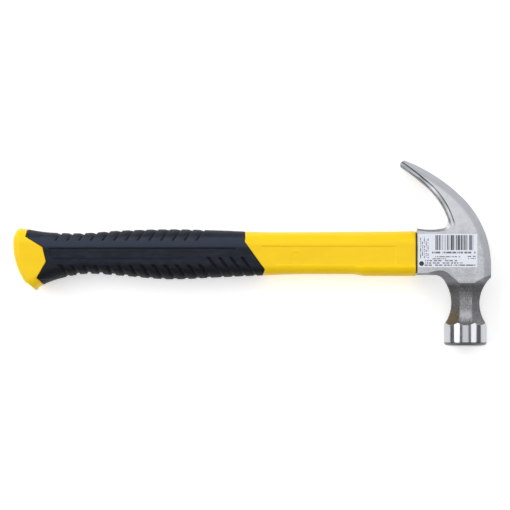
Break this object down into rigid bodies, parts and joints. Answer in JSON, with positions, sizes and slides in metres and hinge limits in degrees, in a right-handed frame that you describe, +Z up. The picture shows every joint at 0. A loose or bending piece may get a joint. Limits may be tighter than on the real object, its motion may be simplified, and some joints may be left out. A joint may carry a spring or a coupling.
{
  "type": "claw hammer",
  "caption": "Curved-claw hammer with a forged steel head, a straight fibreglass core, a plastic jacket and a ribbed rubber grip.",
  "frame": {"origin": "middle of the overall outline, on the surface the hammer lies on", "axes": "+X along the handle towards the head, +Y from the striking face towards the claws, +Z up out of the cheek that carries the label"},
  "size_m": [0.3298, 0.129, 0.0299],
  "materials": {
    "head_steel": "satin cheeks, ground neck, polished poll",
    "fibreglass_core": "sawn glass fibre and resin",
    "bonding_resin": "cast resin",
    "jacket_plastic": "satin moulded",
    "grip_rubber": "soft matt",
    "label_paper": "coated sticker"
  },
  "bodies": {
    "root": {"head": "head_steel", "core_rod": "fibreglass_core", "eye_bond": "bonding_resin", "jacket": "jacket_plastic", "grip": "grip_rubber", "label": "label_paper"}
  },
  "joints": []
}
